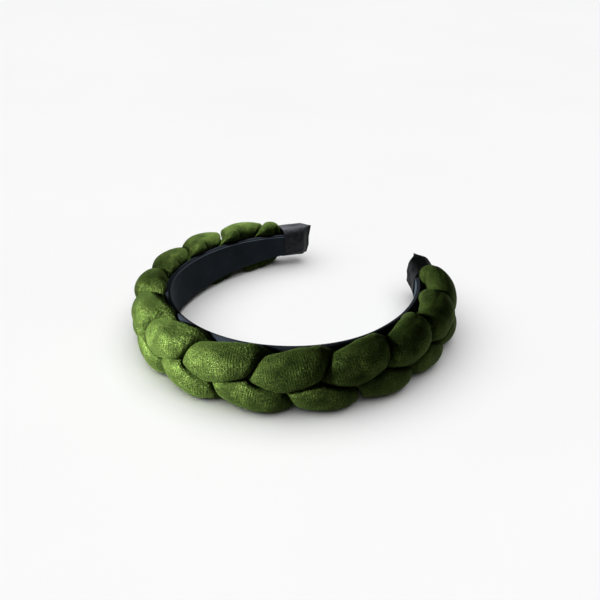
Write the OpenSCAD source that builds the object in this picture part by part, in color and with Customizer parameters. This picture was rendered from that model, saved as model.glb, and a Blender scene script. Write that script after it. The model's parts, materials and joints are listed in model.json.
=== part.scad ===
// Padded headband with a three-strand plait, lying on its edge.
// The hoop lies in a level plane: crown towards -Y, open towards +Y, mirror plane X = 0.
// A plastic hoop sits in a fabric cover. The plait is glued to the outside of the cover,
// its ends are lashed with thread, and a folded ribbon wraps each tip.

/* [Hoop] */
// Radius of the face that touches the head, round the crown
crown_r = 62; // [57:0.5:68]
// Half of the angle that the crown arc covers
crown_half_angle = 78; // [74:0.5:80]
// Radius of the face that touches the head, along each leg
leg_r = 91.5; // [86:0.5:104]
// Length of the hoop from the crown to one tip, along the head
half_length = 175; // [170:1:180]
// Width of the covered hoop at the crown
crown_width = 28; // [22:0.5:30]
// Width of the covered hoop at each tip
tip_width = 11.5; // [10:0.5:14]
// How late the width narrows: 1 is a straight taper
taper_power = 2; // [1:0.1:3]

/* [Layers of the hoop] */
// Thickness of the ribbon that lines the inside
lining_t = 0.5; // [0.3:0.05:0.6]
// Thickness of the fabric cover on each face of the plastic
cover_t = 0.4; // [0.3:0.05:0.6]
// Thickness of the plastic hoop
core_t = 1.5; // [1.2:0.1:1.8]
// Thickness of the glue under the plait
glue_t = 0.4; // [0.2:0.05:0.6]
// Width of the glue under the plait
glue_width = 8; // [5:0.5:10]
// Clearance between one layer and the next
layer_gap = 0.05; // [0.02:0.01:0.1]

/* [Plait] */
// Length along the head in which a strand returns to the same place
plait_period = 76.8; // [76.2:0.3:84]
// Distance that a strand swings to each side of the plait's middle
swing = 9.6; // [9.6:0.1:11]
// Distance that a strand rises and dips as it passes over and under
weave = 5.3; // [5.3:0.1:5.6]
// Width of one padded strand
strand_width = 10.8; // [9:0.2:10.8]
// Thickness of one padded strand
strand_t = 6.8; // [5.4:0.1:6.8]
// Thickness of the velvet and its backing
velvet_t = 0.7; // [0.5:0.1:1]
// Turn of the plait along the hoop
plait_phase = -13; // [-16:1:-10]
// Height of the plait's middle above the hoop's middle
plait_raise = 1; // [0:0.1:1.2]

/* [Tips] */
// Length of each ribbon wrap
wrap_length = 18; // [18:1:24]
// How far the wrap reaches past the end of the hoop
wrap_past_end = 4; // [3:0.5:6]
// Thickness of the folded ribbon
wrap_t = 0.6; // [0.4:0.1:0.8]
// Radius of the wrap's rounded section
wrap_r = 10; // [9.9:0.1:10.6]
// Width of the lashed strands, as a share of the full plait
squeezed_width = 0.48; // [0.44:0.01:0.5]
// Thickness of the lashed strands, as a share of the full plait
squeezed_t = 0.44; // [0.42:0.01:0.45]
// Height of the wrap's middle above the hoop's middle
wrap_raise = 0.4; // [0:0.1:0.5]
// Length over which the plait narrows into its lashed end
squeeze_length = 18; // [18:1:24]
// Turns of thread in each lashing
lashing_turns = 4; // [3:1:6]

/* [Hidden] */
$fn = 96;

// Offsets from the face that touches the head, going outwards
cover_in = lining_t + layer_gap;
core_in = cover_in + cover_t + layer_gap;
core_out = core_in + core_t;
cover_out = core_out + layer_gap + cover_t;
glue_in = cover_out + layer_gap;
plait_in = glue_in + glue_t + 2 * layer_gap;
plait_half_t = weave + strand_t / 2;
plait_out = plait_in + 2 * plait_half_t;

// The lining stops short of the cover's edges and tips, and the strands stop short of the tips
lining_edge = 0.8;
lining_end = 0.5;
strand_end = 2;

// The plait's lowest lobes touch Z = 0
plait_half_w = swing + strand_width / 2;
mid_z = plait_half_w - plait_raise;
crown_length = crown_r * crown_half_angle * PI / 180;
wrap_end = half_length + wrap_past_end;
wrap_start = wrap_end - wrap_length;
squeeze_start = wrap_start - squeeze_length;
strand_half_length = half_length - strand_end;

// The wrap's section is a circle cut flat on the inside and on the outside
wrap_mid = 5.8;
wrap_inside_gap = 0.15;
wrap_in = -(wrap_t + wrap_inside_gap);
wrap_out = 12.8;
wrap_cap_t = 1;

// Each lashing turn is a loop that clears the squeezed strands
squeezed_strand = 0.84;
lashing_turn_w = 0.7;
lashing_gap = 0.15;
lashing_t = 0.25;
lashing_clearance = 0.5;
lashing_lift = 0.25;
lashing_sides = 24;
lashing_inside = 4;
lashing_start = wrap_start + lashing_inside;

velvet_clearance = 0.1;
strand_sides = 10;
strand_rings = 76;
taper_steps = 24;

// The box round the whole headband is centred on X = 0, Y = 0
front_y = -(crown_r + plait_out);
back_y = spot(wrap_end, wrap_out, 0)[1];
centre_y = (front_y + back_y) / 2;

function side(s) = s < 0 ? -1 : 1;
function on_crown(s) = abs(s) <= crown_length;
function mix(a, b, t) = a + (b - a) * t;
function smooth(t) = let (u = max(0, min(1, t))) u * u * (3 - 2 * u);

// Angle that the hoop has turned through at length s from the crown
function turned(s) = on_crown(s)
    ? abs(s) / crown_r * 180 / PI
    : crown_half_angle + (abs(s) - crown_length) / leg_r * 180 / PI;

// Centre of the arc that s lies on, with the crown arc's centre at X = 0, Y = 0
function arc_centre(s) = on_crown(s)
    ? [0, 0]
    : (leg_r - crown_r) * [-side(s) * sin(crown_half_angle), cos(crown_half_angle)];

// Point at length s along the head, at an offset outwards and a height above the middle
function spot(s, offset, up) =
    let (
        r = (on_crown(s) ? crown_r : leg_r) + offset,
        c = arc_centre(s),
        a = turned(s)
    )
    [c[0] + side(s) * r * sin(a), c[1] - r * cos(a), up];

function outward(s) = [side(s) * sin(turned(s)), -cos(turned(s)), 0];

// Half width of the covered hoop at length s
function half_width(s) = mix(crown_width, tip_width, pow(abs(s) / half_length, taper_power)) / 2;

// How far the plait is squeezed towards its lashed ends, from 0 to 1
function squeeze(s) = smooth((abs(s) - squeeze_start) / squeeze_length);
function width_share(s) = mix(1, squeezed_width, squeeze(s));
function t_share(s) = mix(1, squeezed_t, squeeze(s));

// Centre of strand k: it swings once and weaves twice in each period
function strand_spot(s, k) =
    let (
        phase = 360 * s / plait_period + 120 * k + plait_phase,
        offset = plait_in + (plait_half_t + weave * sin(2 * phase)) * t_share(s)
    )
    spot(s, offset, plait_raise + swing * sin(phase) * width_share(s));

// One ring of points round strand k, set in from the strand's skin
function strand_ring(s, k, inset) =
    let (
        centre = strand_spot(s, k),
        step = strand_spot(s + 0.5, k) - strand_spot(s - 0.5, k),
        along = step / norm(step),
        across = cross(outward(s), along) / norm(cross(outward(s), along)),
        up = cross(along, across),
        slim = mix(1, squeezed_strand, squeeze(s)),
        half_w = strand_width / 2 * width_share(s) * slim - inset,
        half_t = strand_t / 2 * t_share(s) * slim - inset
    )
    [
        for (j = [0 : strand_sides - 1])
            let (a = 360 * j / strand_sides)
            centre + across * half_w * cos(a) + up * half_t * sin(a)
    ];

// Rings along strand k, leaving out a number of rings at each end
function strand_points(k, inset, left_out = 0) = [
    for (i = [left_out : strand_rings - 1 - left_out])
        let (s = mix(-strand_half_length, strand_half_length, i / (strand_rings - 1)))
        each strand_ring(s, k, inset)
];

// Triangles between neighbouring rings, starting at point number first
function skin_faces(first, rings, outside) = [
    for (i = [0 : rings - 2], j = [0 : strand_sides - 1])
        let (
            a = first + i * strand_sides + j,
            b = first + i * strand_sides + (j + 1) % strand_sides,
            c = b + strand_sides,
            d = a + strand_sides
        )
        each outside ? [[a, c, b], [a, d, c]] : [[a, b, c], [a, c, d]]
];

module in_place() {
    translate([0, -centre_y, mid_z]) children();
}

// Turns a section, drawn as offset and height, along one leg between two lengths
module along_leg(s_start, s_end) {
    start_angle = turned(s_start) - 90;
    translate(concat(arc_centre(s_end), 0))
        rotate_extrude(angle = turned(s_end) - turned(s_start), start = start_angle)
            translate([leg_r, 0]) children();
}

// A strip of even height that follows the hoop, up to a reach each side of the crown
module even_strip(offset_in, offset_out, reach) {
    t = offset_out - offset_in;
    rotate_extrude(angle = 2 * crown_half_angle, start = -90 - crown_half_angle)
        translate([crown_r + offset_in, -crown_width]) square([t, 2 * crown_width]);
    for (m = [0, 1])
        mirror([m, 0, 0])
            along_leg(crown_length, reach)
                translate([offset_in, -crown_width]) square([t, 2 * crown_width]);
}

// Outline of the hoop seen from the side, cut in by an inset on each edge.
// A rounded one ends in a half circle, and a square one runs on past the tips.
module side_outline(inset, rounded) {
    round_r = half_width(half_length) - inset;
    round_start = half_length - round_r;
    straight_end = rounded ? round_start : half_length;
    straight = [
        for (i = [0 : taper_steps])
            let (s = straight_end * i / taper_steps)
            [s, half_width(s) - inset]
    ];
    tip = rounded
        ? [for (a = [15 : 15 : 90]) [round_start + round_r * sin(a), straight[taper_steps][1] * cos(a)]]
        : [[half_length + round_r, round_r]];
    before_crown = [[front_y, straight[0][1]]];
    upper = concat(before_crown, [for (q = concat(straight, tip)) [spot(q[0], core_in, 0)[1], q[1]]]);
    lower = [for (i = [len(upper) - 1 : -1 : 0]) [upper[i][0], -upper[i][1]]];
    polygon(concat(upper, lower));
}

// A strip that narrows towards the tips
module tapered_strip(offset_in, offset_out, inset, reach, rounded = false) {
    intersection() {
        even_strip(offset_in, offset_out, reach);
        rotate([90, 0, 90])
            linear_extrude(height = 4 * crown_r, center = true)
                side_outline(inset, rounded);
    }
}

module core_hoop() {
    color("#d8d8d4")
        in_place()
            tapered_strip(core_in, core_out, cover_t + layer_gap, half_length, rounded = true);
}

module hoop_cover() {
    color("#14161a")
        in_place()
            difference() {
                tapered_strip(cover_in, cover_out, 0, half_length);
                tapered_strip(core_in - layer_gap, core_out + layer_gap, cover_t, half_length + 1);
            }
}

module inner_lining() {
    color("#1c1f24")
        in_place() tapered_strip(0, lining_t, lining_edge, half_length - lining_end);
}

module glue_strip() {
    color("#c9b98a")
        in_place()
            intersection() {
                even_strip(glue_in, glue_in + glue_t, squeeze_start);
                cube([4 * crown_r, 4 * crown_r, glue_width], center = true);
            }
}

module velvet_tube(k) {
    outer = strand_points(k, 0);
    inner = strand_points(k, velvet_t);
    last = (strand_rings - 1) * strand_sides;
    count = len(outer);
    ends = [
        for (j = [0 : strand_sides - 1])
            let (n = (j + 1) % strand_sides)
            each [
                [j, n, count + n, count + j],
                [last + j, count + last + j, count + last + n, last + n]
            ]
    ];
    color("#4d6b24")
        in_place()
            polyhedron(
                points = concat(outer, inner),
                faces = concat(skin_faces(0, strand_rings, true), skin_faces(count, strand_rings, false), ends)
            );
}

module padding_cord(k) {
    points = strand_points(k, velvet_t + velvet_clearance, 1);
    rings = strand_rings - 2;
    last = (rings - 1) * strand_sides;
    ends = [
        [for (j = [0 : strand_sides - 1]) j],
        [for (j = [strand_sides - 1 : -1 : 0]) last + j]
    ];
    color("#eeeeea")
        in_place() polyhedron(points = points, faces = concat(skin_faces(0, rings, true), ends));
}

// Section of the wrap, drawn in from its outside by an inset
module wrap_section(inset) {
    intersection() {
        translate([wrap_mid, wrap_raise]) circle(r = wrap_r - inset);
        translate([wrap_in + inset, wrap_raise - wrap_r])
            square([wrap_out - wrap_in - 2 * inset, 2 * wrap_r]);
    }
}

module tip_wrap() {
    color("#25282e")
        difference() {
            along_leg(wrap_start, wrap_end) wrap_section(0);
            along_leg(wrap_start - 1, wrap_end - wrap_cap_t) wrap_section(wrap_t);
        }
}

// Loop of thread round the squeezed strands, set out from them by a margin
module lashing_outline(margin) {
    half_t = plait_half_t * squeezed_t + margin;
    half_w = plait_half_w * squeezed_width + margin;
    middle = plait_in + plait_half_t * squeezed_t + lashing_lift;
    polygon([
        for (j = [0 : lashing_sides - 1])
            let (a = 360 * j / lashing_sides)
            [middle + half_t * cos(a), plait_raise + half_w * sin(a)]
    ]);
}

module end_lashing() {
    color("#3a4a20")
        for (i = [0 : lashing_turns - 1])
            let (s = lashing_start + i * (lashing_turn_w + lashing_gap))
            along_leg(s, s + lashing_turn_w)
                difference() {
                    lashing_outline(lashing_clearance + lashing_t);
                    lashing_outline(lashing_clearance);
                }
}

module end_lashing_left() { in_place() mirror([1, 0, 0]) end_lashing(); }
module end_lashing_right() { in_place() end_lashing(); }
module tip_wrap_left() { in_place() mirror([1, 0, 0]) tip_wrap(); }
module tip_wrap_right() { in_place() tip_wrap(); }

core_hoop();
hoop_cover();
inner_lining();
glue_strip();
velvet_tube(0);  // velvet_tube_a
velvet_tube(1);  // velvet_tube_b
velvet_tube(2);  // velvet_tube_c
padding_cord(0);  // padding_cord_a
padding_cord(1);  // padding_cord_b
padding_cord(2);  // padding_cord_c
end_lashing_left();
end_lashing_right();
tip_wrap_left();
tip_wrap_right();
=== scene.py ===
"""Looks of the padded plaited headband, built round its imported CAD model.

The hoop is described by s, the length along the face that touches the head (0 at the crown,
positive towards the +X tip), by an offset outwards from that face, and by a height above the
hoop's middle. Shapes are worked out in millimetres and turned into metres at the end.
"""

import json
import math

import bpy
import numpy as np
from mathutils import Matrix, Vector, noise

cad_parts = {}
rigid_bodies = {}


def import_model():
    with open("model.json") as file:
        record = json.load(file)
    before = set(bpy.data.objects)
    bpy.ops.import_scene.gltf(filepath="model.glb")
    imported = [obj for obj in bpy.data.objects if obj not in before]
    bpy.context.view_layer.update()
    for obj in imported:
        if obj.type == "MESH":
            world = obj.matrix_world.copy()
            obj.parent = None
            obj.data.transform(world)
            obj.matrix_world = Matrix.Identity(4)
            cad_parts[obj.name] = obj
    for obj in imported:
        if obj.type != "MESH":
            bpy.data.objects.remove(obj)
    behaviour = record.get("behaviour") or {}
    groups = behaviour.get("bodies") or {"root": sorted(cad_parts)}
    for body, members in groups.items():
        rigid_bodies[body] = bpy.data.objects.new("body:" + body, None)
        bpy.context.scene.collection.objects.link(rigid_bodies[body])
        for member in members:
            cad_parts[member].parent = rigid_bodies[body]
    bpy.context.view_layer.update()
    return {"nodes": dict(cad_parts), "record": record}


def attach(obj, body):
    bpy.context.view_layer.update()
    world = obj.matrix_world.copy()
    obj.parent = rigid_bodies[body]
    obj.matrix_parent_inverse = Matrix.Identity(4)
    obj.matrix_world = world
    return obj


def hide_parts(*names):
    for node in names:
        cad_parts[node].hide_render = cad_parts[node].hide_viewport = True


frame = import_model()

MM = 0.001
SEAT = frame["record"]["mounts"][0]
CROWN_R = SEAT["dims"]["r_mm"]
CENTRE_Y = -SEAT["pos_m"][1] / MM
MID_Z = SEAT["pos_m"][2] / MM

# The hoop, as in the CAD source
CROWN_ANGLE = math.radians(78)
LEG_R = 91.5
HALF_LENGTH = 175.0
CROWN_LENGTH = CROWN_R * CROWN_ANGLE
CROWN_WIDTH = 28.0
TIP_WIDTH = 11.5
LINING_T = 0.5
LINING_EDGE = 0.8
LINING_REACH = HALF_LENGTH - 0.5
COVER_T = 0.4
COVER_IN = 0.55
COVER_OUT = 2.95
PLAIT_IN = 3.5
BAND_STATIONS = 280

# The plait: where its strands go
PERIOD = 76.8
LEAN = 0.2
PHASE = math.radians(-13) + LEAN
UNEVEN = 0.28
RAISE = 1.6  # height of the plait's middle above the hoop's middle
SWING = 7.0
DIVE = 0.35  # how much further a strand swings just as it goes beneath another
WEAVE = 4.7
PLAIT_HALF_T = 8.4
SWAY = 1.8
DROOP = 1.2  # how much lower the plait lies towards the left tip
STRAND_END = 173.0
LASHED = 0.4  # share of its size that a strand loses inside a wrap

# The plait: the size of a free strand
STRAND_HALF_W = 9.8
STRAND_HALF_T = 5.2
LOBE_W = 0.16  # how much narrower a strand is away from the middle of its lobe
BENEATH_T = 0.8  # extra half thickness where a strand dips
RISE = 2.8  # extra half thickness where a strand is on top
FOLD_W = 0.12  # how much narrower a strand is where it turns back
FOLD_T = 0.4  # how much thicker a strand is where it turns back

# The plait: how a strand is puffed out
RINGS = 620
SIDES = 72
MARCH = np.linspace(0.12, 1.3, 20)  # tried distances, as shares of the free size
FREE_STOP = 1.5  # stop of a ray that meets nothing
NEIGHBOURS = np.arange(-13.0, 13.01, 1.0)  # where along a neighbour to look, from here
CONTACT_GAP = 0.045  # gap left to a neighbour, as a share of its size
CREASE = 0.75  # a lower value rounds a crease over a greater distance
LEAST_R = 0.8
BAND_CLEAR = 3.15  # least offset above the band, in mm
RIM_CLEAR = 0.8  # least offset beside the band, in mm
FLOOR_CLEAR = 0.3
UPPER_SHOULDER = 0.45  # how much a lobe swells where it hangs over the band's upper rim
LOWER_SHOULDER = 0.9
LUMP = 0.25
LUMP_LENGTH = 9.0
VELVET_T = 1.1
CORE_LEAST_R = 0.3
CORE_STEP = 5
CORE_REACH = (6, 3)  # rings and sides over which the wadding takes the least radius

# The ribbon wraps
WRAP_START = 161.0
WRAP_END = 179.0
WRAP_MID = 5.9
WRAP_RAISE = 1.2
WRAP_HALF_T = 6.75
WRAP_HALF_H = 9.6
WRAP_SQUARENESS = 2.9
WRAP_ROOM = (5.9, 8.7)  # half sizes left for the strands inside a wrap
WRAP_PINCH = 0.74  # share of its length at which a wrap starts to close
WRAP_SIDES = 96
RIBBON_T = 0.7
WRAP_FOLDS = (
    (0.55, (162, -5), (176, 3), 0.9),
    (0.45, (163, 7), (175, -1), 0.8),
    (0.35, (165, -8), (177, -4), 0.7),
)

# The thread and the glue
THREAD_R = 0.22
THREAD_TURNS = 7
LASHING_START = 166.0
LASHING_LENGTH = 4.2
LASHING_MID = PLAIT_IN + 3.9
LASHING_RAISE = 0.8
LASHING_HALF_T = 4.0
LASHING_HALF_H = 7.6
GLUE_REACH = 138.0
GLUE_STEP = 7.5
GLUE_T = 0.2
GLUE_GAP = 0.02
GLUE_SIDES = 20
GLUE_PROFILE = ((1.0, 0.0), (0.97, 0.45), (0.8, 0.85), (0.45, 1.0))  # shares of size and height


# ---------------------------------------------------------------- the hoop's own coordinates
def hoop_point(s, offset, up):
    """Points in mm at length s, an offset outwards and a height above the middle."""
    s, offset, up = np.broadcast_arrays(np.asarray(s, float), offset, up)
    side = np.where(s < 0, -1.0, 1.0)
    crown = np.abs(s) <= CROWN_LENGTH
    turned = np.where(crown, np.abs(s) / CROWN_R, CROWN_ANGLE + (np.abs(s) - CROWN_LENGTH) / LEG_R)
    shift = np.where(crown, 0.0, LEG_R - CROWN_R)
    radius = np.where(crown, CROWN_R, LEG_R) + offset
    x = side * (radius * np.sin(turned) - shift * math.sin(CROWN_ANGLE))
    y = shift * math.cos(CROWN_ANGLE) - radius * np.cos(turned) - CENTRE_Y
    return np.stack([x, y, up + MID_Z], axis=-1)


def offset_of(points, s):
    """Offset outwards of points in mm that are near length s."""
    crown = abs(s) <= CROWN_LENGTH
    shift = 0.0 if crown else LEG_R - CROWN_R
    x = points[..., 0] + math.copysign(shift * math.sin(CROWN_ANGLE), s)
    y = points[..., 1] + CENTRE_Y - shift * math.cos(CROWN_ANGLE)
    return np.hypot(x, y) - (CROWN_R if crown else LEG_R)


def outward(s):
    """Unit vectors away from the head at lengths s."""
    s = np.asarray(s, float)
    step = hoop_point(s, 1.0, 0.0) - hoop_point(s, 0.0, 0.0)
    return step / np.linalg.norm(step, axis=-1, keepdims=True)


def half_width(s):
    """Half width of the covered hoop."""
    share = (np.abs(s) / HALF_LENGTH) ** 2
    return (CROWN_WIDTH + (TIP_WIDTH - CROWN_WIDTH) * share) / 2


def smooth(t):
    """0 below 0, 1 above 1 and an even S between them."""
    t = np.clip(t, 0.0, 1.0)
    return t * t * (3 - 2 * t)


def unit(v):
    """Vectors [..., 3] scaled to length 1."""
    return v / np.maximum(np.linalg.norm(v, axis=-1, keepdims=True), 1e-9)


# ---------------------------------------------------------------- meshes
def make_object(name, points, faces, uvs=None):
    """A mesh object from points in mm, faces, and one uv pair for each face corner."""
    mesh = bpy.data.meshes.new(name)
    mesh.from_pydata((np.asarray(points) * MM).tolist(), [], faces)
    if uvs is not None:
        layer = mesh.uv_layers.new(name="cut")
        layer.data.foreach_set("uv", np.asarray(uvs, np.float32).ravel())
    mesh.polygons.foreach_set("use_smooth", [True] * len(mesh.polygons))
    mesh.update()
    obj = bpy.data.objects.new(name, mesh)
    bpy.context.scene.collection.objects.link(obj)
    return obj


def tube_object(name, rings, along, around):
    """A capped tube from rings [n, m, 3]. along [n] and around [m + 1] are its uv values."""
    n, m = rings.shape[:2]
    i, j = np.meshgrid(np.arange(n - 1), np.arange(m), indexing="ij")
    k = (j + 1) % m
    quads = np.stack([i * m + j, i * m + k, (i + 1) * m + k, (i + 1) * m + j], -1).reshape(-1, 4)
    uv = np.stack(
        [
            np.stack([along[i], around[j]], -1),
            np.stack([along[i], around[j + 1]], -1),
            np.stack([along[i + 1], around[j + 1]], -1),
            np.stack([along[i + 1], around[j]], -1),
        ],
        -2,
    ).reshape(-1, 2)
    points = rings.reshape(-1, 3)
    first, last = len(points), len(points) + 1
    points = np.concatenate([points, rings[:1].mean(1), rings[-1:].mean(1)])
    base = (n - 1) * m
    fans = [[first, (q + 1) % m, q] for q in range(m)]
    fans += [[last, base + q, base + (q + 1) % m] for q in range(m)]
    uv = np.concatenate([uv, np.tile([[along[0], 0.0]], (3 * len(fans), 1))])
    return make_object(name, points, quads.tolist() + fans, uv)


def arc_lengths(points):
    """Length along a row of points, up to each of them."""
    steps = np.linalg.norm(np.diff(points, axis=0), axis=-1)
    return np.concatenate([[0.0], np.cumsum(steps)])


def girth_lengths(ring):
    """Length round a closed ring, up to each of its points and back to the first."""
    return arc_lengths(np.concatenate([ring, ring[:1]]))


def circle(count):
    """Evenly spaced angles."""
    return 2 * math.pi * np.arange(count) / count


# ---------------------------------------------------------------- the plait
def squeeze(s):
    """0 on the open plait, 1 where the strands are lashed inside a wrap."""
    return smooth((np.abs(s) - (WRAP_START - 7)) / 8)


def thinning(s):
    """How the plait lies lower on the hoop towards its ends."""
    return 1 - 0.3 * smooth((np.abs(s) - 122) / 40)


def sway(s):
    """How far the plait sits proud on the right side and close on the left, in mm."""
    return SWAY * np.sin(math.pi * s / 230) * (1 - smooth((np.abs(s) - 130) / 30))


def phase_of(s, k):
    """Where strand k is in its swing. It goes out slowly on top and comes back quickly beneath."""
    uneven = UNEVEN * smooth((s + 78) / 20) * smooth((34 - s) / 36)
    even = 2 * math.pi * (s / PERIOD + k / 3) + PHASE + uneven
    return even + LEAN * np.cos(2 * even)


def strand_state(s, k):
    """Centre, frame and half axes of strand k at lengths s, in mm."""

    def centre(at):
        phase = phase_of(at, k)
        tight = squeeze(at)
        weave = WEAVE * np.sin(2 * phase) - RISE * np.clip(np.sin(2 * phase), 0, 1)
        offset = PLAIT_IN + sway(at) + (PLAIT_HALF_T + weave) * (1 - LASHED * tight) * thinning(at)
        dive = DIVE * np.sign(np.cos(phase)) * np.clip(-np.sin(2 * phase), 0, 1) ** 1.5
        middle = RAISE - DROOP * smooth((-at - 100) / 40)
        up = middle + SWING * (np.sin(phase) + dive) * (1 - LASHED * tight)
        return hoop_point(at, offset, up)

    along = unit(centre(s + 0.5) - centre(s - 0.5))
    across = unit(np.cross(outward(s), along))
    up = np.cross(along, across)
    phase = phase_of(s, k)
    open_lobe = np.sin(phase + math.radians(35)) ** 2
    beneath = (1 - np.sin(2 * phase)) / 2
    fold = np.sin(phase - math.radians(8)) ** 4
    on_top = np.clip(np.sin(2 * phase), 0, 1)
    tight = 1 - LASHED * squeeze(s)
    half_w = STRAND_HALF_W * (1 - LOBE_W + LOBE_W * open_lobe) * (1 - FOLD_W * fold) * tight
    half_t = (STRAND_HALF_T + BENEATH_T * beneath + RISE * on_top) * (1 + FOLD_T * fold)
    half_t = half_t * tight * thinning(s)
    return centre(s), along, across, up, half_w, half_t


def strand_distance(points, state):
    """How far points [..., 3] are from a strand, as a multiple of its own size."""
    centre, along, across, up, half_w, half_t = state
    d = points[..., None, :] - centre
    a = (d * along).sum(-1) / half_w
    b = (d * across).sum(-1) / half_w
    c = (d * up).sum(-1) / half_t
    return np.sqrt((a * a + b * b + c * c).min(-1))


def room_to_spare(probe, s, half_t, k):
    """Positive where the probes of one ring [sides, march, 3] are still free to go."""
    near = np.full(probe.shape[:2], np.inf)
    for other in (k + 1, k + 2):
        near = np.minimum(near, strand_distance(probe, strand_state(s + NEIGHBOURS, other % 3)))
    offset = offset_of(probe, s)
    above_band = (offset - BAND_CLEAR) / half_t
    beside_band = (np.abs(probe[..., 2] - MID_Z) - half_width(s)) / half_t
    margin = np.minimum(near - MARCH - CONTACT_GAP, np.maximum(above_band, beside_band))
    margin = np.minimum(margin, (offset - RIM_CLEAR) / half_t)
    margin = np.minimum(margin, (probe[..., 2] - FLOOR_CLEAR) / half_t)
    if abs(s) > WRAP_START:
        up = probe[..., 2] - MID_Z - WRAP_RAISE
        share = np.abs([(offset - WRAP_MID) / WRAP_ROOM[0], up / WRAP_ROOM[1]])
        margin = np.minimum(margin, 1 - (share**WRAP_SQUARENESS).sum(0) ** (1 / WRAP_SQUARENESS))
    return margin


def strand_rings(k):
    """Rings round strand k, puffed out until its skin or a neighbour stops it.

    Returns the centres, the unit directions, the radii, and how far contact is past the free skin.
    """
    s = np.linspace(-STRAND_END, STRAND_END, RINGS)
    centre, _, across, up, half_w, half_t = strand_state(s, k)
    angle = circle(SIDES)
    cos, sin = np.cos(angle), np.sin(angle)
    reach = across[:, None] * (half_w[:, None] * cos)[..., None]
    reach = reach + up[:, None] * (half_t[:, None] * sin)[..., None]
    side = np.sin(phase_of(s, k))[:, None]
    shoulder = np.clip(cos * side, 0, 1) * np.abs(side) * np.clip(-sin, 0, 1)
    shoulder = shoulder * np.where(side > 0, UPPER_SHOULDER, LOWER_SHOULDER)
    reach = reach * (1 + shoulder * (1 - squeeze(s))[:, None])[..., None]
    free = np.linalg.norm(reach, axis=-1)
    stop = np.full(free.shape, FREE_STOP)
    for i in range(RINGS):
        probe = centre[i] + reach[i, :, None] * MARCH[:, None]
        margin = room_to_spare(probe, s[i], half_t[i], k)
        hit = margin < 0
        first = hit.argmax(1)
        for row in np.nonzero(hit.any(1))[0]:
            f = first[row]
            if f == 0:
                stop[i, row] = MARCH[0]
                continue
            before, after = margin[row, f - 1], margin[row, f]
            stop[i, row] = MARCH[f - 1] + (MARCH[f] - MARCH[f - 1]) * before / (before - after)
    contact = stop * free
    radius = -np.log(np.exp(-CREASE * free) + np.exp(-CREASE * contact)) / CREASE
    return centre, reach / free[..., None], np.maximum(radius, LEAST_R), contact - free


def build_strand(k, letter):
    """One velvet tube, and the wadding that fills it."""
    centre, direction, radius, room = strand_rings(k)
    rings = centre[:, None] + direction * radius[..., None]
    lumps = np.array([[noise.noise(Vector(p) / LUMP_LENGTH) for p in ring] for ring in rings])
    radius = radius + LUMP * lumps * smooth(room / 1.5)
    rings = centre[:, None] + direction * radius[..., None]
    girth = np.linspace(0, 2 * math.pi * STRAND_HALF_W * 0.9, SIDES + 1)
    along = arc_lengths(centre)
    velvet = tube_object(f"velvet_strand_{letter}", rings, along, girth)
    low = radius
    for shift in range(-CORE_REACH[0], CORE_REACH[0] + 1):
        low = np.minimum(low, np.roll(radius, shift, 0))
    for shift in range(-CORE_REACH[1], CORE_REACH[1] + 1):
        low = np.minimum(low, np.roll(low, shift, 1))
    core = centre[:, None] + direction * np.maximum(low - VELVET_T, CORE_LEAST_R)[..., None]
    part = slice(CORE_STEP, -CORE_STEP, CORE_STEP)
    wadding = tube_object(f"wadding_{letter}", core[part, ::3], along[part], girth[::3])
    return velvet, wadding


# ---------------------------------------------------------------- pieces with a real section
def band_rings(offset_in, offset_out, inset, reach, edge_r):
    """Sections of a flat band with rounded edges, between two offsets, that follow the hoop."""
    turn = np.linspace(-math.pi / 2, math.pi / 2, 9)
    flat = np.linspace(-1, 1, 25)[1:-1]
    half_t = (offset_out - offset_in) / 2
    mid = (offset_in + offset_out) / 2
    rings = []
    for at in np.linspace(-reach, reach, BAND_STATIONS):
        h = half_width(at) - inset - edge_r
        top = [(mid + half_t * math.sin(q), h + edge_r * math.cos(q)) for q in turn]
        outer = [(offset_out, -h * q) for q in flat]
        bottom = [(mid - half_t * math.sin(q), -h - edge_r * math.cos(q)) for q in turn]
        inner = [(offset_in, h * q) for q in flat]
        section = np.array(top + outer + bottom + inner)
        rings.append(hoop_point(at, section[:, 0], section[:, 1]))
    return np.array(rings)


def build_lining():
    """The ribbon that lines the inside face."""
    rings = band_rings(0.0, LINING_T, LINING_EDGE, LINING_REACH, 0.2)
    return tube_object("lining_ribbon", rings, arc_lengths(rings[:, 0]), girth_lengths(rings[0]))


def build_cover():
    """The cover's outside and, one cloth thickness in, the inside that wraps the plastic."""
    outside = band_rings(COVER_IN, COVER_OUT, 0.0, HALF_LENGTH, 1.0)
    reach = HALF_LENGTH - COVER_T
    inside = band_rings(COVER_IN + COVER_T, COVER_OUT - COVER_T, COVER_T, reach, 0.1)
    rings = np.concatenate([outside, inside[::-1]])
    return tube_object("fabric_cover", rings, arc_lengths(rings[:, 0]), girth_lengths(rings[0]))


def ridge(along, height, start, end, width):
    """A soft fold between two points of the ribbon, highest on its own line."""
    a, b = np.array(start), np.array(end)
    d = (b - a) / np.linalg.norm(b - a)
    q = np.stack([along - a[0], height - a[1]], -1)
    away = q[..., 0] * d[1] - q[..., 1] * d[0]
    reach = (q * d).sum(-1) / np.linalg.norm(b - a)
    fade = smooth(reach / 0.25) * smooth((1 - reach) / 0.25)
    return np.exp(-((away / width) ** 2)) * fade


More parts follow.
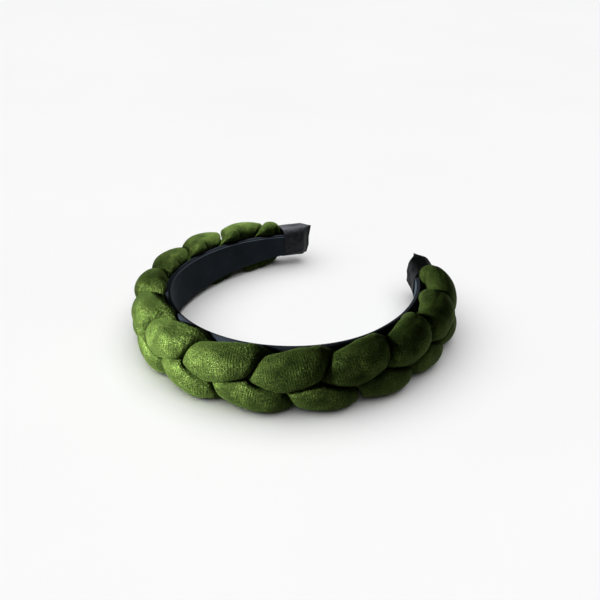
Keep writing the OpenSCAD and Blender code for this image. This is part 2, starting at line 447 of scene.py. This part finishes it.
def build_wrap(side, label):
    """A ribbon folded round one tip, pinched shut into an upright seam at its end."""
    outside = np.concatenate([np.linspace(0, 0.7, 22), np.linspace(0.72, 1, 16)])
    angle = circle(WRAP_SIDES)
    c, n = np.cos(angle), np.sin(angle)
    power = 2 / WRAP_SQUARENESS
    mouth = 1.5 if side < 0 else -5.0  # how far the edge on the inside face is moved along

    def section(share, thick):
        """One section at a share of the length, a thickness in from the outside."""
        close = smooth((share - WRAP_PINCH) / 0.26)
        half_t = (WRAP_HALF_T - thick) * (1 - close) + (0.35 + 0.3 * (1 - thick)) * close
        half_h = (WRAP_HALF_H - thick) * (1 - 0.06 * close)
        offset = np.sign(c) * np.abs(c) ** power * half_t
        up = np.sign(n) * np.abs(n) ** power * half_h
        middle = WRAP_MID - 0.9 * close
        along = WRAP_START + share * (WRAP_END - WRAP_START)
        along = along + mouth * (1 - share) ** 2 * smooth((0.3 - c) / 0.8)
        # The seam runs on at its upper corner and stops short at its lower one.
        along = along + 1.3 * close * smooth((up - 5.5) / 4) - 1.2 * close * smooth((-up - 3) / 6)
        spots = np.stack([along / 4, up / 5, c * 2 + 7 * side], -1)
        push = 0.35 * np.array([noise.noise(Vector(spot)) for spot in spots])
        for height, start, end, width in WRAP_FOLDS:
            push = push + height * ridge(along, up, start, end, width)
        push = push * (1 - 0.6 * close)
        offset = offset + np.sign(c) * np.abs(c) ** 0.6 * push
        return hoop_point(side * along, middle + offset, WRAP_RAISE + up)

    outer = [section(q, 0.0) for q in outside]
    inner = [section(q * 0.985, RIBBON_T) for q in outside[::-1]]
    rings = np.array(outer[::-1] + [(outer[0] + inner[-1]) / 2] + inner[::-1])
    if side < 0:
        rings = rings[:, ::-1]
    along = arc_lengths(rings[:, 0])
    return tube_object(f"ribbon_wrap_{label}", rings, along, girth_lengths(rings[20]))


def build_lashing(side, label):
    """Thread wound round the gathered strands."""
    t = np.linspace(0, 1, THREAD_TURNS * 48)
    angle = 2 * math.pi * THREAD_TURNS * t
    s = side * (LASHING_START + LASHING_LENGTH * t)
    offset = LASHING_MID + LASHING_HALF_T * np.cos(angle)
    up = LASHING_RAISE + LASHING_HALF_H * np.sin(angle)
    path = hoop_point(s, offset, up)
    along = unit(np.gradient(path, axis=0))
    across = unit(np.cross(along, np.array([0.0, 0.0, 1.0])))
    lift = np.cross(along, across)
    cos, sin = np.cos(circle(8))[:, None], np.sin(circle(8))[:, None]
    rings = path[:, None] + THREAD_R * (across[:, None] * cos + lift[:, None] * sin)
    girth = np.linspace(0, 2 * math.pi * THREAD_R, 9)
    return tube_object(f"thread_{label}", rings, arc_lengths(path), girth)


def build_glue():
    """A row of flattened beads of set glue under the plait."""
    points, faces = [], []
    sides, rows = GLUE_SIDES, len(GLUE_PROFILE)
    base = COVER_OUT + GLUE_GAP
    for n, s in enumerate(np.arange(-GLUE_REACH, GLUE_REACH + 0.1, GLUE_STEP)):
        long = 3.4 + 0.6 * noise.noise(Vector((n * 1.7, 0.3, 0)))
        wide = 3.3 + 0.7 * noise.noise(Vector((n * 1.3, 5.1, 0)))
        first = len(points)
        for share, rise in GLUE_PROFILE:
            for a in circle(sides):
                along, up = s + long * share * math.cos(a), wide * share * math.sin(a)
                points.append(hoop_point(along, base + GLUE_T * rise, up))
        points.append(hoop_point(s, base + GLUE_T, 0.0))
        points.append(hoop_point(s, base, 0.0))
        top, bottom = first + sides * rows, first + sides * rows + 1
        for row in range(rows - 1):
            for j in range(sides):
                k = (j + 1) % sides
                a, b = first + row * sides, first + (row + 1) * sides
                faces.append([a + j, a + k, b + k, b + j])
        last = first + (rows - 1) * sides
        faces += [[last + j, last + (j + 1) % sides, top] for j in range(sides)]
        faces += [[first + (j + 1) % sides, first + j, bottom] for j in range(sides)]
    return make_object("glue_beads", np.array(points), faces)


# ---------------------------------------------------------------- materials
RIB_PITCH = 1.05
KNOT_PITCH = 0.8
COVER_WEAVE_PITCH = 0.45
LINING_RIB_PITCH = 0.6
SATIN_THREAD_PITCH = 0.4
VELVET_DEEP = (0.0015, 0.0035, 0.0006, 1)
VELVET_FRESH = (0.030, 0.050, 0.009, 1)
VELVET_GLINT = (0.20, 0.27, 0.075, 1)
COVER_TONES = (0.002, 0.003, 0.004, 1), (0.008, 0.010, 0.013, 1)
LINING_TONES = (0.006, 0.0095, 0.013, 1), (0.019, 0.027, 0.035, 1)
SATIN_TONES = (0.003, 0.0035, 0.0045, 1), (0.030, 0.034, 0.042, 1)
WADDING_TONES = (0.7, 0.7, 0.67, 1), (0.9, 0.9, 0.88, 1)
THREAD_TONES = (0.02, 0.04, 0.01, 1), (0.06, 0.10, 0.03, 1)
GLUE_TONES = (0.62, 0.55, 0.38, 1), (0.78, 0.72, 0.55, 1)
PLASTIC_TONES = (0.70, 0.70, 0.68, 1), (0.80, 0.80, 0.78, 1)
FLOOR_TONES = (0.88, 0.88, 0.88, 1), (0.90, 0.90, 0.90, 1)


class Graph:
    """A material whose nodes are added one call at a time."""

    def __init__(self, name):
        self.material = bpy.data.materials.new(name)
        self.material.use_nodes = True
        self.tree = self.material.node_tree
        self.shader = self.tree.nodes["Principled BSDF"]

    def put(self, socket, value):
        """Link an output to a socket, or write a plain value on it."""
        if isinstance(value, bpy.types.NodeSocket):
            self.tree.links.new(value, socket)
        else:
            socket.default_value = value

    def node(self, kind, out=0, inputs=None, **settings):
        made = self.tree.nodes.new("ShaderNode" + kind)
        for key, value in settings.items():
            setattr(made, key, value)
        for key, value in (inputs or {}).items():
            self.put(made.inputs[key], value)
        return made.outputs[out]

    def math(self, kind, a, b=0.0, c=0.0):
        return self.node("Math", inputs={0: a, 1: b, 2: c}, operation=kind)

    def wave(self, along, pitch):
        """A sine from -1 to 1 that repeats at every pitch."""
        return self.math("SINE", self.math("MULTIPLY", along, 2 * math.pi / pitch))

    def mix(self, share, a, b):
        made = self.tree.nodes.new("ShaderNodeMix")
        made.data_type = "RGBA"
        self.put(made.inputs["Factor"], share)
        self.put(made.inputs["A"], a)
        self.put(made.inputs["B"], b)
        return made.outputs["Result"]

    def noise(self, where, scale, detail=2.0, roughness=0.5):
        return self.node(
            "TexNoise",
            inputs={"Vector": where, "Scale": scale, "Detail": detail, "Roughness": roughness},
        )

    def remap(self, value, low, high, to_low=0.0, to_high=1.0):
        ends = {"From Min": low, "From Max": high, "To Min": to_low, "To Max": to_high}
        return self.node("MapRange", inputs={"Value": value, **ends})

    def cut(self):
        """Millimetres along a piece and round it."""
        made = self.tree.nodes.new("ShaderNodeSeparateXYZ")
        self.put(made.inputs[0], self.node("UVMap", uv_map="cut"))
        return made.outputs[0], made.outputs[1]

    def bump(self, height, distance, strength):
        """Raise the surface by a height, where 1 stands for a distance in metres."""
        inputs = {"Height": height, "Distance": distance, "Strength": strength}
        normal = self.node("Bump", inputs=inputs)
        self.put(self.shader.inputs["Normal"], normal)

    def set(self, **values):
        """Shader inputs by name, with an underscore for each space."""
        for key, value in values.items():
            self.put(self.shader.inputs[key.replace("_", " ")], value)


def velvet_material():
    """Short olive pile with faint ribs, crushed patches and bright flecks."""
    g = Graph("olive_velvet")
    place = g.node("TexCoord", out="Object")
    u, v = g.cut()
    wavering = g.math("ADD", u, g.math("MULTIPLY", g.noise(place, 260.0, 2.0), 0.5))
    line = g.math("MULTIPLY_ADD", g.wave(wavering, RIB_PITCH), 0.5, 0.5)
    knots = g.wave(v, KNOT_PITCH)
    patches = g.remap(g.noise(place, 210.0, 2.0), 0.42, 0.62)
    rib = g.math("MULTIPLY", line, g.math("MULTIPLY_ADD", patches, 0.8, 0.2))
    pile = g.remap(g.noise(place, 1500.0, 2.0, 0.65), 0.40, 0.60)
    crush = g.remap(g.noise(place, 95.0, 3.0, 0.55), 0.3, 0.7)
    fleck = g.math("MULTIPLY", g.remap(g.noise(place, 2900.0, 1.0), 0.54, 0.68), crush)
    tone = g.math("MULTIPLY_ADD", pile, 0.62, g.math("MULTIPLY", rib, 0.5))
    tone = g.math("MULTIPLY", tone, g.math("MULTIPLY_ADD", crush, 0.9, 0.35))
    colour = g.mix(tone, VELVET_DEEP, VELVET_FRESH)
    colour = g.mix(g.math("MULTIPLY", fleck, 0.55), colour, VELVET_GLINT)
    g.set(Base_Color=colour, Roughness=g.remap(pile, 0.0, 1.0, 0.56, 0.70))
    g.set(Metallic=g.math("MULTIPLY_ADD", fleck, 0.15, 0.85))
    g.set(Specular_IOR_Level=0.05, Specular_Tint=(0.78, 0.88, 0.6, 1))
    g.set(Sheen_Weight=0.09, Sheen_Roughness=0.35, Sheen_Tint=(0.32, 0.55, 0.12, 1))
    fine = g.math("MULTIPLY_ADD", knots, 0.05, g.math("MULTIPLY", pile, 0.7))
    height = g.math("ADD", g.math("MULTIPLY", rib, 0.6), fine)
    g.bump(g.math("MULTIPLY_ADD", crush, 2.2, height), 0.00025, 0.9)
    return g.material


def cover_material():
    """Matt black plain weave."""
    g = Graph("black_cover")
    place = g.node("TexCoord", out="Object")
    u, v = g.cut()
    warp, weft = g.wave(u, COVER_WEAVE_PITCH), g.wave(v, COVER_WEAVE_PITCH)
    weave = g.math("MULTIPLY_ADD", g.math("MULTIPLY", warp, weft), 0.5, 0.5)
    fuzz = g.noise(place, 900.0, 3.0, 0.6)
    wear = g.remap(g.noise(place, 60.0, 3.0), 0.35, 0.75)
    tone = g.math("MULTIPLY_ADD", weave, 0.35, g.math("MULTIPLY", wear, 0.4))
    g.set(Base_Color=g.mix(tone, *COVER_TONES), Roughness=0.9, Specular_IOR_Level=0.02)
    g.set(Sheen_Weight=0.02, Sheen_Roughness=0.5, Sheen_Tint=(0.6, 0.66, 0.75, 1))
    g.bump(g.math("MULTIPLY_ADD", fuzz, 0.5, weave), 0.00008, 0.7)
    return g.material


def lining_material():
    """Black ribbon with fine ribs across it, a little worn."""
    g = Graph("black_ribbon_lining")
    place = g.node("TexCoord", out="Object")
    rib = g.math("MULTIPLY_ADD", g.wave(g.cut()[0], LINING_RIB_PITCH), 0.5, 0.5)
    fuzz = g.noise(place, 1200.0, 3.0, 0.6)
    wear = g.remap(g.noise(place, 75.0, 4.0), 0.35, 0.7)
    tone = g.math("MULTIPLY_ADD", fuzz, 0.3, g.math("MULTIPLY", wear, 0.45))
    tone = g.math("MULTIPLY_ADD", rib, 0.25, tone)
    g.set(Base_Color=g.mix(tone, *LINING_TONES), Roughness=0.88, Specular_IOR_Level=0.12)
    g.set(Sheen_Weight=0.02, Sheen_Roughness=0.5, Sheen_Tint=(0.6, 0.68, 0.8, 1))
    g.bump(g.math("MULTIPLY_ADD", rib, 0.6, g.math("MULTIPLY", fuzz, 0.4)), 0.00009, 0.7)
    return g.material


def satin_material():
    """Soft black ribbon, crumpled, with paler clouds."""
    g = Graph("black_satin_ribbon")
    place = g.node("TexCoord", out="Object")
    thread = g.math("MULTIPLY_ADD", g.wave(g.cut()[0], SATIN_THREAD_PITCH), 0.5, 0.5)
    cloud = g.remap(g.noise(place, 240.0, 4.0, 0.6), 0.45, 0.68)
    tone = g.math("MULTIPLY_ADD", thread, 0.2, g.math("MULTIPLY", cloud, 0.7))
    g.set(Base_Color=g.mix(tone, *SATIN_TONES), Specular_IOR_Level=0.16)
    g.set(Roughness=g.remap(cloud, 0.0, 1.0, 0.48, 0.65))
    g.set(Sheen_Weight=0.02, Sheen_Roughness=0.4, Sheen_Tint=(0.7, 0.75, 0.85, 1))
    crumple = g.noise(place, 420.0, 4.0, 0.6)
    g.bump(g.math("MULTIPLY_ADD", crumple, 2.2, thread), 0.00012, 0.8)
    return g.material


def plain_material(name, tones, roughness, scale, distance):
    """A colour that varies a little between two tones, with a grain in its surface."""
    g = Graph(name)
    place = g.node("TexCoord", out="Object")
    grain = g.noise(place, scale, 4.0, 0.6)
    g.set(Base_Color=g.mix(g.remap(grain, 0.3, 0.7), *tones), Roughness=roughness)
    g.bump(grain, distance, 0.6)
    return g.material


def finish_piece(piece, material, slot, *nodes):
    """Give a piece its look, and put it on the root in place of its CAD nodes."""
    piece.data.materials.append(material)
    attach(piece, "root")
    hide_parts(*nodes)


velvet = velvet_material()
wool = plain_material("fibre_wadding", WADDING_TONES, 0.95, 700.0, 0.0004)
satin = satin_material()
thread_green = plain_material("lashing_thread", THREAD_TONES, 0.7, 2500.0, 0.00005)
for index, letter in enumerate("abc"):
    strand, wadding = build_strand(index, letter)
    finish_piece(strand, velvet, "green_velvet", f"velvet_tube_{letter}")
    finish_piece(wadding, wool, "white_padding", f"padding_cord_{letter}")

cover = build_cover()
finish_piece(cover, cover_material(), "cover_fabric", "hoop_cover")
lining = build_lining()
finish_piece(lining, lining_material(), "lining_ribbon", "inner_lining")
glue = build_glue()
glue_look = plain_material("set_glue", GLUE_TONES, 0.35, 300.0, 0.0001)
finish_piece(glue, glue_look, "hot_glue", "glue_strip")
for side, label, wrap_length in ((-1, "left", 0.019), (1, "right", 0.022)):
    wrap = build_wrap(side, label)
    finish_piece(wrap, satin, "wrap_ribbon", f"tip_wrap_{label}")
    thread = build_lashing(side, label)
    finish_piece(thread, thread_green, "lashing_thread", f"end_lashing_{label}")

core = frame["nodes"]["core_hoop"]
core.data.materials.clear()
core.data.materials.append(plain_material("moulded_plastic", PLASTIC_TONES, 0.45, 500.0, 0.00003))

# ---------------------------------------------------------------- floor, light and camera
bpy.ops.mesh.primitive_plane_add(size=60, location=(0, 0, 0))
floor = bpy.context.object
floor.name = "floor"
floor.data.materials.append(plain_material("pale_floor", FLOOR_TONES, 0.9, 4.0, 0.0001))


def aim_at(obj, aim, azimuth, elevation, distance):
    """Point a lamp or a camera at a spot. Azimuth 0 is on the -Y side, and 90 on the +X side."""
    a, e = math.radians(azimuth), math.radians(elevation)
    back = Vector((math.sin(a) * math.cos(e), -math.cos(a) * math.cos(e), math.sin(e)))
    obj.location = Vector(aim) + back * distance
    obj.rotation_mode = "QUATERNION"
    obj.rotation_quaternion = (-back).to_track_quat("-Z", "Y")
    bpy.context.scene.collection.objects.link(obj)


def area_light(name, aim, azimuth, elevation, distance, size, spread, power):
    """A square lamp that lights the headband alone."""
    data = bpy.data.lights.new(name, "AREA")
    data.shape = "SQUARE"
    data.size = size
    data.spread = math.radians(spread)
    data.energy = power
    lamp = bpy.data.objects.new(name, data)
    aim_at(lamp, aim, azimuth, elevation, distance)
    lamp.light_linking.receiver_collection = headband_only


# The world is a white backdrop to the camera and a dim light to everything else.
world = bpy.data.worlds.new("studio")
world.use_nodes = True
world_nodes = world.node_tree.nodes
world_nodes["Background"].inputs["Color"].default_value = (1, 1, 1, 1)
backdrop = world_nodes.new("ShaderNodeMapRange")
backdrop.inputs["To Min"].default_value = 0.07
backdrop.inputs["To Max"].default_value = 0.93
seen = world_nodes.new("ShaderNodeLightPath").outputs["Is Camera Ray"]
world.node_tree.links.new(seen, backdrop.inputs["Value"])
world.node_tree.links.new(backdrop.outputs["Result"], world_nodes["Background"].inputs["Strength"])
bpy.context.scene.world = world

# The lamps light the headband and the sun the floor. The right wrap is left to the world's light.
floor_only = bpy.data.collections.new("floor_only")
floor_only.objects.link(floor)
headband_only = bpy.data.collections.new("headband_only")
for piece in bpy.data.objects:
    if piece.type == "MESH" and piece is not floor and piece.name != "ribbon_wrap_right":
        headband_only.objects.link(piece)
area_light(
    "key",
    aim=(-0.024, -0.082, 0.015),
    azimuth=-34,
    elevation=22,
    distance=0.26,
    size=0.08,
    spread=26,
    power=0.46,
)
area_light(
    "far_side",
    aim=(-0.08, 0.05, 0.03),
    azimuth=-146,
    elevation=70,
    distance=0.2,
    size=0.05,
    spread=44,
    power=0.27,
)
sky = bpy.data.lights.new("overhead", "SUN")
sky.energy = 3.2
sky.angle = math.radians(100)
overhead = bpy.data.objects.new("overhead", sky)
overhead.rotation_euler = (math.radians(8), math.radians(-6), 0)
overhead.light_linking.receiver_collection = floor_only
bpy.context.scene.collection.objects.link(overhead)

scene = bpy.context.scene
scene.view_settings.view_transform = "Standard"

data = bpy.data.cameras.new("camera")
data.sensor_width = 36.0
data.lens = 50.8
data.shift_x = 0.0192
data.shift_y = -0.0110
data.clip_start = 0.01
data.clip_end = 100.0
camera = bpy.data.objects.new("camera", data)
aim_at(camera, (-0.00741, 0.0116, 0.014), azimuth=34.22, elevation=28.29, distance=0.4701)
scene.camera = camera
